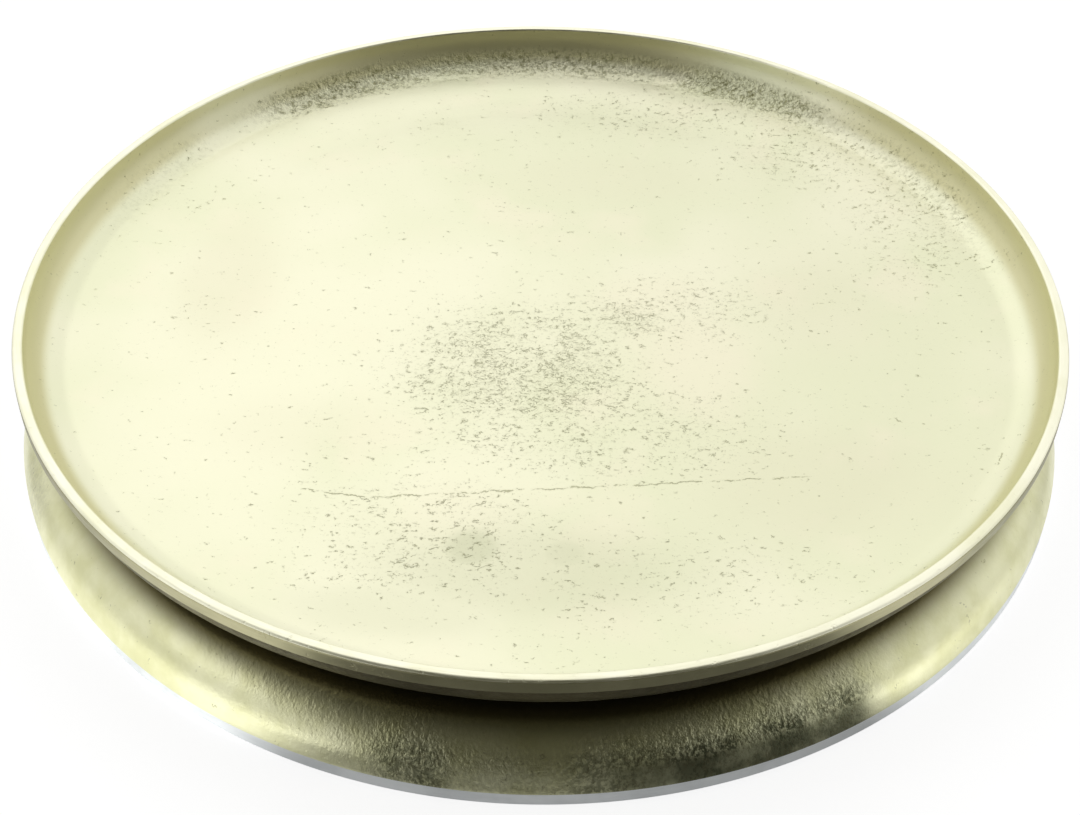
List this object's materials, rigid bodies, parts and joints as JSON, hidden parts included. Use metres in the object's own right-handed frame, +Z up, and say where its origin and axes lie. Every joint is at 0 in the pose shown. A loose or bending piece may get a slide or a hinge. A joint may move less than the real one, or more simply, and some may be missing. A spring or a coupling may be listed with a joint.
{
  "type": "candle plate",
  "caption": "Round shallow metal dish with a thin raised rim, bolted on a slightly wider, round-shouldered foot, for standing candles on.",
  "frame": {"origin": "on the table under the plate's centre, level with the bottoms of its felt pads", "axes": "+Z up along the plate's axis; the plate is round, and -Y is the side that the picture is taken from"},
  "size_m": [0.1842, 0.1842, 0.0257],
  "materials": {
    "pale_gold_casting": "sand-cast aluminium, pitted, burnished and tinted a pale greenish gold",
    "zinc_plated_steel": "bright zinc plate",
    "spring_steel": "dark oiled spring steel",
    "felt": "pressed grey felt"
  },
  "bodies": {
    "root": {"dish": "pale_gold_casting", "foot": "pale_gold_casting", "centre_bolt": "zinc_plated_steel", "flat_washer": "zinc_plated_steel", "spring_washer": "spring_steel", "front_left_pad": "felt", "front_right_pad": "felt", "rear_left_pad": "felt", "rear_right_pad": "felt"}
  },
  "joints": []
}
